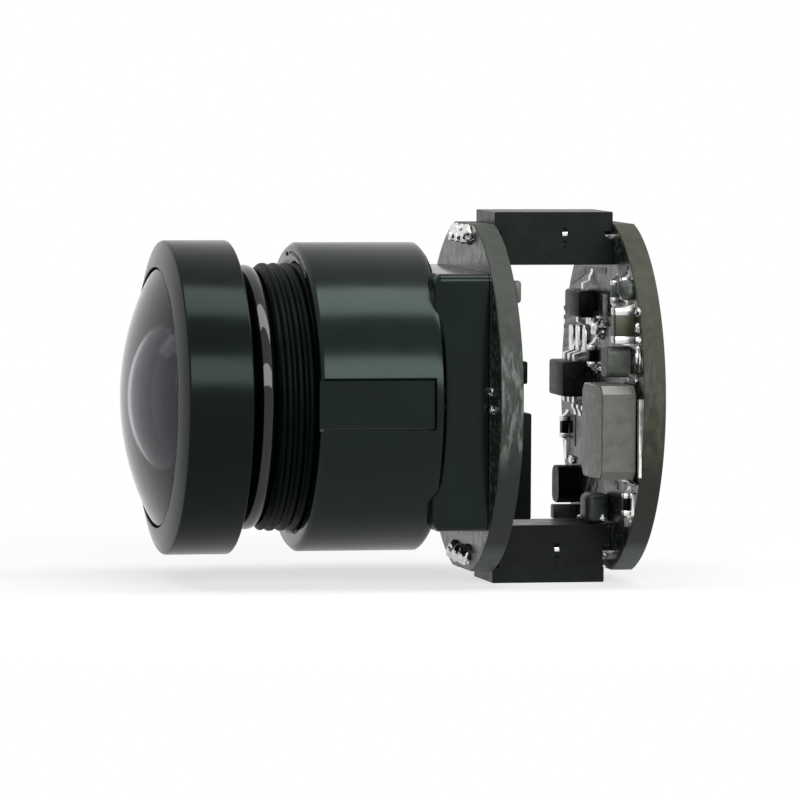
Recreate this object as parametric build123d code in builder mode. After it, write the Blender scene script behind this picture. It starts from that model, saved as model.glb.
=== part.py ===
from build123d import *
from math import sqrt
import os

# Underwater camera module: a wide-angle lens screwed into a moulded holder, on two
# round boards that two pin headers carry apart. Millimetres. The lens axis is X and
# the lens looks towards -X, +Z is up. The origin is on the lens axis, at the middle
# of the lens head's outer wall.

# Lens head and barrel
head_radius = 7.0
head_length = 2.86
head_edge = 0.12
cap_bore_radius = 6.35
cap_opening_radius = 5.8
bevel_rise = 0.35
lip_thickness = 0.5
neck_length = 1.3
neck_radius = 4.95
thread_radius = 5.84
thread_exposed = 1.66
thread_edge = 0.2
fit_gap = 0.02

# Rubber rings
o_ring_section = 0.96
seal_section = 0.5

# Optics: curves are radii of the glass faces
dome_curve = 11.8
dome_recess = 0.1
dome_radius = 5.75
dome_thickness = 1.1
dome_hollow_curve = 4.6
dome_hollow_radius = 3.8
dome_flange_thickness = 0.9
front_bore_radius = 4.4
rear_bore_radius = 3.8
rear_window_radius = 3.2
air_gap = 0.1
second_front_curve = 9.0
second_thickness = 0.7
second_hollow_curve = 3.6
second_hollow_radius = 2.9
third_front_curve = 6.0
third_rear_curve = 12.0
third_thickness = 2.9
stop_thickness = 0.15
stop_hole_radius = 1.3
doublet_front_curve = 9.0
doublet_joint_curve = 5.5
doublet_rear_curve = 14.0
doublet_front_thickness = 2.4
doublet_rear_thickness = 0.7
rear_front_curve = 20.0
rear_rear_curve = 15.0
rear_thickness = 1.1
spacer_wall = 0.6
lens_rear_lip = 0.4

# Holder
holder_radius = 6.9
holder_barrel_length = 5.68
holder_base_side = 11.4
holder_base_length = 2.48
holder_base_overlap = 0.35
holder_base_fillet = 0.35
holder_edge = 0.18
holder_bore_lead = 0.3
thread_gap = 0.06
slot_width = 2.46
slot_depth = 0.3
slot_bevel = 0.18
slot_end_wall = 0.47
holder_wall = 1.2
filter_wall = 0.5
filter_seat = 0.7
filter_clearance = 0.5
filter_thickness = 0.3
sensor_cavity_depth = 1.8
bond_thickness = 0.05
adhesive_height = 0.16
adhesive_width = 0.24

# Boards
board_radius = 8.0
board_flat_cut = 0.24
board_thickness = 1.0
board_gap = 5.42

# Pin headers between the boards
header_width = 3.8
header_height = 2.37
lower_header_extra = 0.22
header_edge = 0.12
pin_side = 0.4
pin_pitch = 1.27
pin_count = 3
pin_row_inset = 0.64
pin_hole_radius = 0.35
pin_stick_out = 0.45
solder_radius = 0.6
solder_height = 0.38
solder_taper = 35
header_foot_depth = 0.3
header_foot_width = 0.6
pin_window_radius = 0.14
pin_window_offset = 0.5

# Image sensor
sensor_width = 7.6
sensor_height = 6.4
sensor_thickness = 0.45
cover_glass_inset = 0.25
cover_glass_thickness = 0.4

# Parts on the boards: across (Y), up (Z) and height off the board
memory_size = (3.8, 4.7, 0.95)
memory_at = (-3.5, -2.85)
inductor_size = (3.8, 4.15, 1.7)
inductor_at = (-5.2, -1.3)
inductor_edge = 0.45
inductor_face_edge = 0.08
regulator_size = (2.9, 1.6, 1.15)
regulator_at = (4.15, 0.55)
transistor_size = (2.9, 1.2, 0.95)
transistor_at = (1.95, 4.05)
lead_reach = 0.6
lead_thickness = 0.15
lead_width = 0.4
lead_lift = 0.1
lead_pitch = 0.95
signal_inductor_size = (1.4, 1.7, 0.95)
signal_inductor_at = (5.0, -4.35)
bulk_capacitor_size = (0.6, 0.65, 1.1)
bulk_capacitor_at = (5.0, -5.62)
rim_capacitor_size = (0.85, 1.6, 0.9)
rim_capacitor_at = (-5.75, 3.4)
filter_capacitor_size = (1.25, 1.35, 1.1)
filter_capacitor_at = (-4.95, 1.75)
diode_size = (1.6, 1.35, 1.1)
diode_at = (-1.1, -5.0)
diode_edge = 0.3
chip_length = 1.0
chip_width = 0.5
chip_height = 0.35
chip_edge = 0.1
resistor_places = [(6.6, -1.85), (1.3, 1.7), (0.6, -2.2), (-3.1, 4.8), (-4.9, 5.0), (-5.5, -4.55)]
sensor_chip_places = [(-5.6, 4.9), (-6.9, 1.4), (5.2, 3.4), (5.2, 1.2), (4.4, -4.6)]
rear_chip_places = [(-4.6, 3.6), (-4.6, 2.4), (5.7, 3.4), (5.7, 2.2), (-2.2, -5.2), (2.2, -5.2)]
processor_size = (6.0, 6.0, 0.75)
processor_at = (0.8, 2.1)
crystal_size = (2.5, 2.0, 0.6)
crystal_at = (5.5, -0.1)
connector_size = (8.0, 2.6, 0.95)
connector_at = (1.8, -3.0)
connector_wall = 0.5
connector_tongue = 0.7
connector_floor = 0.3
contact_pitch = 0.5
contact_end_gap = 0.75
contact_width = 0.2
contact_thickness = 0.1


def sag(curve, radius):
    """How far a round face of this curve falls back at this radius."""
    return curve - sqrt(curve**2 - radius**2)


def ring_profile(x_start, x_end, inner, outer):
    """Half section of a plain ring round the lens axis."""
    with BuildSketch(Plane.XY) as profile:
        with BuildLine():
            Polyline((x_start, inner), (x_end, inner), (x_end, outer), (x_start, outer), close=True)
        make_face()
    return profile.sketch


def element_profile(x_front, x_rear, front_curve, rear_curve, rim):
    """Half section of a lens element that bulges to the front and to the rear."""
    front_rim = x_front + sag(front_curve, rim)
    rear_rim = x_rear - sag(rear_curve, rim)
    with BuildSketch(Plane.XY) as profile:
        with BuildLine():
            ThreePointArc((x_front, 0), (x_front + sag(front_curve, rim / 2), rim / 2), (front_rim, rim))
            Line((front_rim, rim), (rear_rim, rim))
            ThreePointArc((rear_rim, rim), (x_rear - sag(rear_curve, rim / 2), rim / 2), (x_rear, 0))
            Line((x_rear, 0), (x_front, 0))
        make_face()
    return profile.sketch


def footprint(x_face, size, centre):
    """Outline of a block, across and up, on the plane of a board face."""
    with BuildSketch(Plane.YZ.offset(x_face)) as outline:
        with Locations(centre):
            Rectangle(size[0], size[1])
    return outline.sketch


def lead_profile(x_face, size, centre, direction, offset_across):
    """Side view of one gull-wing lead of a part on the main board's front."""
    z_body = centre[1] + direction * size[1] / 2
    z_tip = z_body + direction * lead_reach
    z_foot = z_tip - direction * lead_reach / 2
    z_shoulder = z_body + direction * lead_reach / 4
    x_top = x_face - size[2] / 2
    with BuildSketch(Plane.XZ.offset(-centre[0] - offset_across)) as profile:
        with BuildLine():
            Polyline(
                (x_face, z_tip),
                (x_face, z_foot),
                (x_top + lead_thickness, z_shoulder),
                (x_top + lead_thickness, z_body),
                (x_top, z_body),
                (x_top, z_shoulder + direction * lead_thickness),
                (x_face - lead_thickness, z_foot + direction * lead_thickness),
                (x_face - lead_thickness, z_tip),
                close=True,
            )
        make_face()
    return profile.sketch


def save(piece, name):
    """Label a finished piece and write it."""
    piece.part.label = name
    export_step(piece.part, f"parts/{name}.step")


os.makedirs("parts", exist_ok=True)

# Stations along the lens axis, front to rear
x_cap_front = -head_length / 2
x_cap_rim = x_cap_front - bevel_rise
x_shoulder = head_length / 2
x_thread = x_shoulder + neck_length
x_holder = x_thread + thread_exposed
x_base = x_holder + holder_barrel_length - holder_base_overlap
x_base_end = x_base + holder_base_length
x_sensor_board = x_base_end + bond_thickness
x_sensor_board_rear = x_sensor_board + board_thickness
x_main_board = x_sensor_board_rear + board_gap
x_main_board_rear = x_main_board + board_thickness

# The boards' flats, and the line of the header pins inside them
board_flat = board_radius - board_flat_cut
pin_row = board_flat - pin_row_inset

# The dome's edge lies just behind the cap's rim
x_dome = x_cap_rim - sag(dome_curve, dome_radius) + dome_recess
x_dome_edge = x_dome + sag(dome_curve, dome_radius)
x_lip = x_cap_rim + lip_thickness
x_flange = x_lip + seal_section
x_seat = x_flange + dome_flange_thickness
flange_radius = cap_bore_radius - fit_gap

# Where each element lies behind the one before it
front_rim_radius = front_bore_radius - fit_gap
rear_rim_radius = rear_bore_radius - fit_gap
x_second = x_dome + dome_thickness + sag(dome_hollow_curve, dome_hollow_radius)
x_second_rim = x_second + sag(second_front_curve, front_rim_radius)
x_second_hollow = x_second + second_thickness
x_second_rear = x_second_hollow + sag(second_hollow_curve, second_hollow_radius)
x_third = x_second_rear - sag(third_front_curve, second_hollow_radius) + air_gap
x_third_rear = x_third + third_thickness
x_stop = x_third_rear + air_gap
x_doublet = x_stop + stop_thickness + air_gap
x_doublet_joint = x_doublet + doublet_front_thickness
x_doublet_rear = x_doublet_joint + doublet_rear_thickness
x_rear = x_doublet_rear + air_gap
x_rear_end = x_rear + rear_thickness
x_lens_lip = x_rear_end - sag(rear_rear_curve, rear_window_radius) + fit_gap
x_barrel_end = x_lens_lip + lens_rear_lip

# Cap that screws over the barrel's flange and holds the dome
with BuildPart() as front_cap:
    with BuildSketch(Plane.XY):
        with BuildLine():
            Polyline(
                (x_cap_front, head_radius),
                (x_cap_rim, cap_opening_radius),
                (x_lip, cap_opening_radius),
                (x_lip, cap_bore_radius),
                (x_shoulder, cap_bore_radius),
                (x_shoulder, head_radius),
                close=True,
            )
        make_face()
    revolve(axis=Axis.X)
    outer_edges = front_cap.edges().filter_by(GeomType.CIRCLE)
    fillet(outer_edges.group_by(SortBy.RADIUS)[-1], head_edge)
save(front_cap, "front_cap")

# Seal between the cap's lip and the dome's flange
seal_centre_radius = cap_bore_radius - seal_section / 2 - fit_gap
with BuildPart() as front_seal_ring:
    with BuildSketch(Plane.XY):
        with Locations((x_lip + seal_section / 2, seal_centre_radius)):
            Circle(seal_section / 2)
    revolve(axis=Axis.X)
save(front_seal_ring, "front_seal_ring")

# Domed meniscus with a step down to the flange that the cap clamps
with BuildPart() as front_element:
    with BuildSketch(Plane.XY):
        with BuildLine():
            x_hollow = x_dome + dome_thickness
            x_hollow_rim = x_hollow + sag(dome_hollow_curve, dome_hollow_radius)
            ThreePointArc(
                (x_dome, 0),
                (x_dome + sag(dome_curve, dome_radius / 2), dome_radius / 2),
                (x_dome_edge, dome_radius),
            )
            Polyline(
                (x_dome_edge, dome_radius),
                (x_flange, dome_radius),
                (x_flange, flange_radius),
                (x_seat, flange_radius),
                (x_seat, dome_hollow_radius),
                (x_hollow_rim, dome_hollow_radius),
            )
            ThreePointArc(
                (x_hollow_rim, dome_hollow_radius),
                (x_hollow + sag(dome_hollow_curve, dome_hollow_radius / 2), dome_hollow_radius / 2),
                (x_hollow, 0),
            )
            Line((x_hollow, 0), (x_dome, 0))
        make_face()
    revolve(axis=Axis.X)
save(front_element, "front_element")

# Barrel: flange in the cap, grooved neck, thread, stepped bore and rear lip
with BuildPart() as lens_barrel:
    with BuildSketch(Plane.XY):
        with BuildLine():
            Polyline(
                (x_seat, front_bore_radius),
                (x_seat, flange_radius),
                (x_shoulder, flange_radius),
                (x_shoulder, neck_radius),
                (x_thread, neck_radius),
                (x_thread, thread_radius),
                (x_barrel_end, thread_radius),
                (x_barrel_end, rear_window_radius),
                (x_lens_lip, rear_window_radius),
                (x_lens_lip, rear_bore_radius),
                (x_stop, rear_bore_radius),
                (x_stop, front_bore_radius),
                close=True,
            )
        make_face()
    revolve(axis=Axis.X)
    thread_edges = lens_barrel.edges().filter_by(GeomType.CIRCLE).group_by(Axis.X)[-1]
    chamfer(thread_edges.sort_by(SortBy.RADIUS)[-1], thread_edge)
save(lens_barrel, "lens_barrel")

# Rubber ring in the neck, against the thread's shoulder
with BuildPart() as neck_o_ring:
    with BuildSketch(Plane.XY):
        with Locations((x_thread - o_ring_section / 2 - fit_gap, neck_radius + o_ring_section / 2)):
            Circle(o_ring_section / 2)
    revolve(axis=Axis.X)
save(neck_o_ring, "neck_o_ring")

# Second element, hollow at the rear
with BuildPart() as second_element:
    with BuildSketch(Plane.XY):
        with BuildLine():
            ThreePointArc(
                (x_second, 0),
                (x_second + sag(second_front_curve, front_rim_radius / 2), front_rim_radius / 2),
                (x_second_rim, front_rim_radius),
            )
            Polyline(
                (x_second_rim, front_rim_radius),
                (x_second_rear, front_rim_radius),
                (x_second_rear, second_hollow_radius),
            )
            ThreePointArc(
                (x_second_rear, second_hollow_radius),
                (x_second_hollow + sag(second_hollow_curve, second_hollow_radius / 2), second_hollow_radius / 2),
                (x_second_hollow, 0),
            )
            Line((x_second_hollow, 0), (x_second, 0))
        make_face()
    revolve(axis=Axis.X)
save(second_element, "second_element")

# Third element and the two halves of the cemented pair, then the rear element
with BuildPart() as third_element:
    revolve(
        element_profile(x_third, x_third_rear, third_front_curve, third_rear_curve, front_rim_radius),
        axis=Axis.X,
    )
save(third_element, "third_element")

with BuildPart() as doublet_front_element:
    revolve(
        element_profile(x_doublet, x_doublet_joint, doublet_front_curve, doublet_joint_curve, rear_rim_radius),
        axis=Axis.X,
    )
save(doublet_front_element, "doublet_front_element")

with BuildPart() as doublet_rear_element:
    with BuildSketch(Plane.XY):
        with BuildLine():
            joint_rim = x_doublet_joint - sag(doublet_joint_curve, rear_rim_radius)
            joint_half = x_doublet_joint - sag(doublet_joint_curve, rear_rim_radius / 2)
            rear_rim = x_doublet_rear - sag(doublet_rear_curve, rear_rim_radius)
            rear_half = x_doublet_rear - sag(doublet_rear_curve, rear_rim_radius / 2)
            ThreePointArc((x_doublet_joint, 0), (joint_half, rear_rim_radius / 2), (joint_rim, rear_rim_radius))
            Line((joint_rim, rear_rim_radius), (rear_rim, rear_rim_radius))
            ThreePointArc((rear_rim, rear_rim_radius), (rear_half, rear_rim_radius / 2), (x_doublet_rear, 0))
            Line((x_doublet_rear, 0), (x_doublet_joint, 0))
        make_face()
    revolve(axis=Axis.X)
save(doublet_rear_element, "doublet_rear_element")

with BuildPart() as rear_element:
    revolve(
        element_profile(x_rear, x_rear_end, rear_front_curve, rear_rear_curve, rear_rim_radius),
        axis=Axis.X,
    )
save(rear_element, "rear_element")

# Spacer rings that hold the elements apart, each touching the glass at its inner edge
spacer_inner = front_rim_radius - spacer_wall
with BuildPart() as front_spacer:
    x_touch = x_second + sag(second_front_curve, spacer_inner) - fit_gap
    revolve(ring_profile(x_seat, x_touch, spacer_inner, front_rim_radius), axis=Axis.X)
save(front_spacer, "front_spacer")

with BuildPart() as middle_spacer:
    x_touch = x_third + sag(third_front_curve, spacer_inner) - fit_gap
    revolve(ring_profile(x_second_rear, x_touch, spacer_inner, front_rim_radius), axis=Axis.X)
save(middle_spacer, "middle_spacer")

with BuildPart() as stop_spacer:
    x_touch = x_third_rear - sag(third_rear_curve, spacer_inner) + fit_gap
    revolve(ring_profile(x_touch, x_stop, spacer_inner, front_rim_radius), axis=Axis.X)
save(stop_spacer, "stop_spacer")

rear_spacer_inner = rear_rim_radius - spacer_wall
with BuildPart() as rear_spacer:
    x_touch_front = x_doublet_rear - sag(doublet_rear_curve, rear_spacer_inner) + fit_gap
    x_touch_rear = x_rear + sag(rear_front_curve, rear_spacer_inner) - fit_gap
    revolve(ring_profile(x_touch_front, x_touch_rear, rear_spacer_inner, rear_rim_radius), axis=Axis.X)
save(rear_spacer, "rear_spacer")

# Thin black disc with the lens's fixed aperture
with BuildPart() as aperture_stop:
    revolve(ring_profile(x_stop, x_stop + stop_thickness, stop_hole_radius, rear_rim_radius), axis=Axis.X)
save(aperture_stop, "aperture_stop")

# Holder: round barrel, square base, threaded bore, filter window and sensor cavity
bore_radius = thread_radius + thread_gap
sensor_cavity_side = holder_base_side - 2 * holder_wall
filter_side = sensor_cavity_side - 2 * filter_clearance
filter_window_side = filter_side - 2 * filter_seat
x_cavity = x_base_end - sensor_cavity_depth
x_filter_wall = x_cavity - filter_wall
with BuildPart() as lens_holder:
    with BuildSketch(Plane.YZ.offset(x_holder)):
        Circle(holder_radius)
    extrude(amount=holder_barrel_length)
    chamfer(lens_holder.edges().filter_by(GeomType.CIRCLE), holder_edge)
    with BuildSketch(Plane.YZ.offset(x_base)):
        RectangleRounded(holder_base_side, holder_base_side, holder_base_fillet)
    extrude(amount=holder_base_length)
    with BuildSketch(Plane.YZ.offset(x_holder)):
        Circle(bore_radius)
    extrude(amount=x_filter_wall - x_holder, mode=Mode.SUBTRACT)
    mouth_edges = lens_holder.faces().sort_by(Axis.X)[0].edges().sort_by(SortBy.RADIUS)
    chamfer(mouth_edges[0], holder_bore_lead)
    with BuildSketch(Plane.YZ.offset(x_filter_wall)):
        Rectangle(filter_window_side, filter_window_side)
    extrude(amount=filter_wall, mode=Mode.SUBTRACT)
    with BuildSketch(Plane.YZ.offset(x_cavity)):
        Rectangle(sensor_cavity_side, sensor_cavity_side)
    extrude(amount=sensor_cavity_depth, mode=Mode.SUBTRACT)
    slot_floor = holder_radius - slot_depth
    slot_half = slot_width / 2
    with BuildSketch(Plane.YZ.offset(x_holder)):
        with BuildLine():
            Polyline(
                (slot_floor, slot_half - slot_bevel),
                (slot_floor + slot_depth, slot_half),
                (slot_floor + slot_depth, -slot_half),
                (slot_floor, slot_bevel - slot_half),
                close=True,
            )
        make_face()
        mirror(about=Plane.YZ)
    extrude(amount=holder_barrel_length - slot_end_wall, mode=Mode.SUBTRACT)
save(lens_holder, "lens_holder")

# Adhesive that locks the focused lens: an arc and two dabs at the thread's mouth
adhesive_radius = bore_radius + holder_bore_lead + adhesive_width
with BuildPart() as thread_lock_adhesive:
    with BuildSketch(Plane.YZ.offset(x_holder - adhesive_height)):
        with BuildLine():
            CenterArc((0, 0), adhesive_radius, 92, 30)
        trace(line_width=adhesive_width)
        with PolarLocations(adhesive_radius, 2, start_angle=80, angular_range=8, endpoint=True):
            Circle(adhesive_width / 2)
    extrude(amount=adhesive_height)
save(thread_lock_adhesive, "thread_lock_adhesive")

# Filter glass behind the window
with BuildPart() as ir_cut_filter:
    with BuildSketch(Plane.YZ.offset(x_cavity)):
        Rectangle(filter_side, filter_side)
    extrude(amount=filter_thickness)
save(ir_cut_filter, "ir_cut_filter")

# Adhesive seam between the holder's base and the sensor board
with BuildPart() as holder_bond:
    with BuildSketch(Plane.YZ.offset(x_base_end)):
        RectangleRounded(holder_base_side, holder_base_side, holder_base_fillet)
        Rectangle(sensor_cavity_side, sensor_cavity_side, mode=Mode.SUBTRACT)
    extrude(amount=bond_thickness)
save(holder_bond, "holder_bond")

# Two round boards with flats at top and bottom, drilled for the header pins
for board_name, x_board in (("sensor_board", x_sensor_board), ("main_board", x_main_board)):
    with BuildPart() as board:
        with BuildSketch(Plane.YZ.offset(x_board)):
            Circle(board_radius)
            Rectangle(2 * board_radius, 2 * board_flat, mode=Mode.INTERSECT)
            with GridLocations(pin_pitch, 2 * pin_row, pin_count, 2):
                Circle(pin_hole_radius, mode=Mode.SUBTRACT)
        extrude(amount=board_thickness)
    save(board, board_name)

# Sensor package on the front of the sensor board, and its cover glass
x_sensor = x_sensor_board - sensor_thickness
with BuildPart() as image_sensor:
    with BuildSketch(Plane.YZ.offset(x_sensor)):
        Rectangle(sensor_width, sensor_height)
    extrude(amount=sensor_thickness)
save(image_sensor, "image_sensor")

with BuildPart() as sensor_cover_glass:
    with BuildSketch(Plane.YZ.offset(x_sensor - cover_glass_thickness)):
        Rectangle(sensor_width - 2 * cover_glass_inset, sensor_height - 2 * cover_glass_inset)
    extrude(amount=cover_glass_thickness)
save(sensor_cover_glass, "sensor_cover_glass")

# Header strips: side is +1 for the upper one and -1 for the lower one
x_pin_start = x_sensor_board - pin_stick_out
pin_length = 2 * board_thickness + board_gap + 2 * pin_stick_out
x_window = x_sensor_board_rear + board_gap / 2 + pin_window_offset
for side, place, extra in ((1, "upper", 0), (-1, "lower", lower_header_extra)):
    with BuildPart() as header_body:
        with BuildSketch(Plane.YZ.offset(x_sensor_board_rear)):
            with Locations((0, side * (pin_row - extra / 2))):
                Rectangle(header_width, header_height + extra)
        extrude(amount=board_gap)
        chamfer(header_body.edges().filter_by(Axis.X), header_edge)
        with BuildSketch(Plane.YZ.offset(x_sensor_board_rear)):
            with Locations((0, side * pin_row)):
                with GridLocations(pin_pitch, pin_pitch, pin_count, 1):
                    Rectangle(pin_side, pin_side)
        extrude(amount=board_gap, mode=Mode.SUBTRACT)
        for x_foot in (x_sensor_board_rear, x_main_board - header_foot_depth):
            with BuildSketch(Plane.YZ.offset(x_foot)):
                with Locations((0, side * pin_row)):
                    Rectangle(header_width, header_foot_width)
            extrude(amount=header_foot_depth, mode=Mode.SUBTRACT)
        with BuildSketch(Plane.XZ.offset(header_width / 2)):
            with Locations((x_window, side * pin_row)):
                Circle(pin_window_radius)
        extrude(amount=-(header_width / 2 - pin_pitch - pin_side / 2), mode=Mode.SUBTRACT)
    save(header_body, f"{place}_header_body")

    with BuildPart() as header_pins:
        with BuildSketch(Plane.YZ.offset(x_pin_start)):
            with Locations((0, side * pin_row)):
                with GridLocations(pin_pitch, pin_pitch, pin_count, 1):
                    Rectangle(pin_side, pin_side)
        extrude(amount=pin_length)
    save(header_pins, f"{place}_header_pins")

# Solder cones round the pins, on the outer face of each board
with BuildPart() as header_solder_joints:
    for x_face, outwards in ((x_sensor_board, -1), (x_main_board_rear, 1)):
        with BuildSketch(Plane.YZ.offset(x_face)) as solder_foot:
            with GridLocations(pin_pitch, 2 * pin_row, pin_count, 2):
                Circle(solder_radius)
        extrude(amount=outwards * solder_height, taper=solder_taper)
    with BuildSketch(Plane.YZ.offset(x_pin_start)):
        with GridLocations(pin_pitch, 2 * pin_row, pin_count, 2):
            Rectangle(pin_side, pin_side)
    extrude(amount=pin_length, mode=Mode.SUBTRACT)
save(header_solder_joints, "header_solder_joints")


# Rear of the sensor board: a flat memory chip and small chips near the rim
with BuildPart() as memory_chip:
    extrude(footprint(x_sensor_board_rear, memory_size, memory_at), amount=memory_size[2])
    chamfer(memory_chip.faces().sort_by(Axis.X)[-1].edges(), chip_edge)
save(memory_chip, "memory_chip")

with BuildPart() as sensor_board_capacitors:
    with BuildSketch(Plane.YZ.offset(x_sensor_board_rear)):
        with Locations(sensor_chip_places):
            Rectangle(chip_width, chip_length)
    extrude(amount=chip_height)
save(sensor_board_capacitors, "sensor_board_capacitors")

# Front of the main board: a moulded power inductor with bevelled corners
with BuildPart() as power_inductor:
    extrude(footprint(x_main_board, inductor_size, inductor_at), amount=-inductor_size[2])
    chamfer(power_inductor.edges().filter_by(Axis.X), inductor_edge)
    chamfer(power_inductor.faces().sort_by(Axis.X)[0].edges(), inductor_face_edge)
save(power_inductor, "power_inductor")

# Two moulded parts that their bent leads hold just off the board: a regulator with
# three leads above and three below, and a transistor with one above and two below
side_leads = (-lead_pitch, 0, lead_pitch)
leaded_parts = (
    ("regulator", regulator_size, regulator_at, side_leads, side_leads),
    ("transistor", transistor_size, transistor_at, side_leads[1:2], side_leads[::2]),
)
x_lifted = x_main_board - lead_lift
for leaded_name, size, centre, upper_leads, lower_leads in leaded_parts:
    with BuildPart() as moulded_body:
        extrude(footprint(x_lifted, size, centre), amount=lead_lift - size[2])
        chamfer(moulded_body.faces().sort_by(Axis.X)[0].edges(), chip_edge)
    save(moulded_body, f"{leaded_name}_body")

    with BuildPart() as bent_leads:
        for direction, offsets in ((1, upper_leads), (-1, lower_leads)):
            for offset_across in offsets:
                profile = lead_profile(x_main_board, size, centre, direction, offset_across)
                extrude(profile, amount=lead_width / 2, both=True)
    save(bent_leads, f"{leaded_name}_leads")

with BuildPart() as signal_inductor:
    extrude(footprint(x_main_board, signal_inductor_size, signal_inductor_at), amount=-signal_inductor_size[2])
    chamfer(signal_inductor.faces().sort_by(Axis.X)[0].edges(), chip_edge)
save(signal_inductor, "signal_inductor")

with BuildPart() as bulk_capacitor:
    extrude(footprint(x_main_board, bulk_capacitor_size, bulk_capacitor_at), amount=-bulk_capacitor_size[2])
    chamfer(bulk_capacitor.faces().sort_by(Axis.X)[0].edges(), chip_edge)
save(bulk_capacitor, "bulk_capacitor")

# Two larger capacitors near the rim
with BuildPart() as rim_capacitor:
    extrude(footprint(x_main_board, rim_capacitor_size, rim_capacitor_at), amount=-rim_capacitor_size[2])
    fillet(rim_capacitor.edges().filter_by(Axis.Z), chip_edge)
save(rim_capacitor, "rim_capacitor")

with BuildPart() as filter_capacitor:
    extrude(footprint(x_main_board, filter_capacitor_size, filter_capacitor_at), amount=-filter_capacitor_size[2])
    fillet(filter_capacitor.edges().filter_by(Axis.X), chip_edge)
save(filter_capacitor, "filter_capacitor")

# Diode with well rounded corners
with BuildPart() as diode:
    extrude(footprint(x_main_board, diode_size, diode_at), amount=-diode_size[2])
    fillet(diode.edges().filter_by(Axis.X), diode_edge)
save(diode, "diode")

with BuildPart() as chip_resistors:
    with BuildSketch(Plane.YZ.offset(x_main_board)):
        with Locations(resistor_places):
            Rectangle(chip_width, chip_length)
    extrude(amount=-chip_height)
save(chip_resistors, "chip_resistors")

# Rear of the main board: processor, crystal, small chips and the output connector
with BuildPart() as image_processor:
    extrude(footprint(x_main_board_rear, processor_size, processor_at), amount=processor_size[2])
    chamfer(image_processor.faces().sort_by(Axis.X)[-1].edges(), chip_edge)
save(image_processor, "image_processor")

with BuildPart() as crystal:
    extrude(footprint(x_main_board_rear, crystal_size, crystal_at), amount=crystal_size[2])
    fillet(crystal.edges().filter_by(Axis.X), chip_edge)
save(crystal, "crystal")

with BuildPart() as rear_capacitors:
    with BuildSketch(Plane.YZ.offset(x_main_board_rear)):
        with Locations(rear_chip_places):
            Rectangle(chip_width, chip_length)
    extrude(amount=chip_height)
save(rear_capacitors, "rear_capacitors")

# Receptacle with a moat round its tongue
x_moat = x_main_board_rear + connector_floor
moat_depth = connector_size[2] - connector_floor
moat_width = connector_size[0] - 2 * connector_wall
moat_height = connector_size[1] - 2 * connector_wall
contact_count = int((moat_width - 2 * contact_end_gap) / contact_pitch) + 1
with BuildPart() as output_connector:
    extrude(footprint(x_main_board_rear, connector_size, connector_at), amount=connector_size[2])
    chamfer(output_connector.edges().filter_by(Axis.X), chip_edge)
    with BuildSketch(Plane.YZ.offset(x_moat)):
        with Locations(connector_at):
            Rectangle(moat_width, moat_height)
            Rectangle(moat_width - 2 * connector_wall, connector_tongue, mode=Mode.SUBTRACT)
    extrude(amount=moat_depth, mode=Mode.SUBTRACT)
save(output_connector, "output_connector")

# Flat contacts that line both long walls of the moat
with BuildPart() as output_contacts:
    with BuildSketch(Plane.YZ.offset(x_moat)):
        with Locations(connector_at):
            with GridLocations(contact_pitch, moat_height - contact_thickness, contact_count, 2):
                Rectangle(contact_width, contact_thickness)
    extrude(amount=moat_depth - contact_thickness)
save(output_contacts, "output_contacts")
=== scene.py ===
import math
import random

import bmesh
import bpy
from mathutils import Matrix, Vector, noise


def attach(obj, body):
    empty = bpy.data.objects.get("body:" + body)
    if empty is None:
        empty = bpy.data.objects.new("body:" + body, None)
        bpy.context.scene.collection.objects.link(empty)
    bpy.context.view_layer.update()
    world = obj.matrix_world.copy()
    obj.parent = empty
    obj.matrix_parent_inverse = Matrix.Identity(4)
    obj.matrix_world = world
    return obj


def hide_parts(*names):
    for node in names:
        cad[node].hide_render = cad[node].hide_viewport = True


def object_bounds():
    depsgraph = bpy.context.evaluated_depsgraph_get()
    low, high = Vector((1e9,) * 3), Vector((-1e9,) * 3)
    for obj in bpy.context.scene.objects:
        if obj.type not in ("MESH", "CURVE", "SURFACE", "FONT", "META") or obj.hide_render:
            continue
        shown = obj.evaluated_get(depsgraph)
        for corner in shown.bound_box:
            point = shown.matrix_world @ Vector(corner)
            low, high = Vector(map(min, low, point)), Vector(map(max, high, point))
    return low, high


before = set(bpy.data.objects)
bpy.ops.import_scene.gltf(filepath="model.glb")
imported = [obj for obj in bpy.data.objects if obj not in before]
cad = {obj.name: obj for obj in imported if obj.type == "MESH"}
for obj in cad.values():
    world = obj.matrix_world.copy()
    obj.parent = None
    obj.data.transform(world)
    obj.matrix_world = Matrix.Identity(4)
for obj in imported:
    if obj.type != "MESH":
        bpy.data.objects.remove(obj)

MM = 0.001
cad_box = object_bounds()
scene = bpy.context.scene
scene.view_settings.view_transform = "Standard"


# Node helpers

def add(tree, kind, sockets=None, **settings):
    """New shader node; a socket's value is a number, a colour or the output that feeds it."""
    made = tree.nodes.new(kind)
    for key, value in settings.items():
        setattr(made, key, value)
    for key, value in (sockets or {}).items():
        if isinstance(value, bpy.types.NodeSocket):
            tree.links.new(value, made.inputs[key])
        else:
            made.inputs[key].default_value = value
    return made


def ramp(tree, factor, stops):
    """Colour ramp through (place, colour) stops."""
    made = add(tree, "ShaderNodeValToRGB", {"Fac": factor})
    elements = made.color_ramp.elements
    elements[0].position, elements[0].color = stops[0][0], (*stops[0][1], 1)
    elements[1].position, elements[1].color = stops[-1][0], (*stops[-1][1], 1)
    for place, colour in stops[1:-1]:
        elements.new(place).color = (*colour, 1)
    return made.outputs["Color"]


def millimetres(tree):
    """Object coordinates in millimetres, so a texture's scale is its features per millimetre."""
    coordinates = add(tree, "ShaderNodeTexCoord").outputs["Object"]
    scale = (1 / MM, 1 / MM, 1 / MM)
    return add(tree, "ShaderNodeMapping", {"Vector": coordinates, "Scale": scale}).outputs["Vector"]


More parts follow.
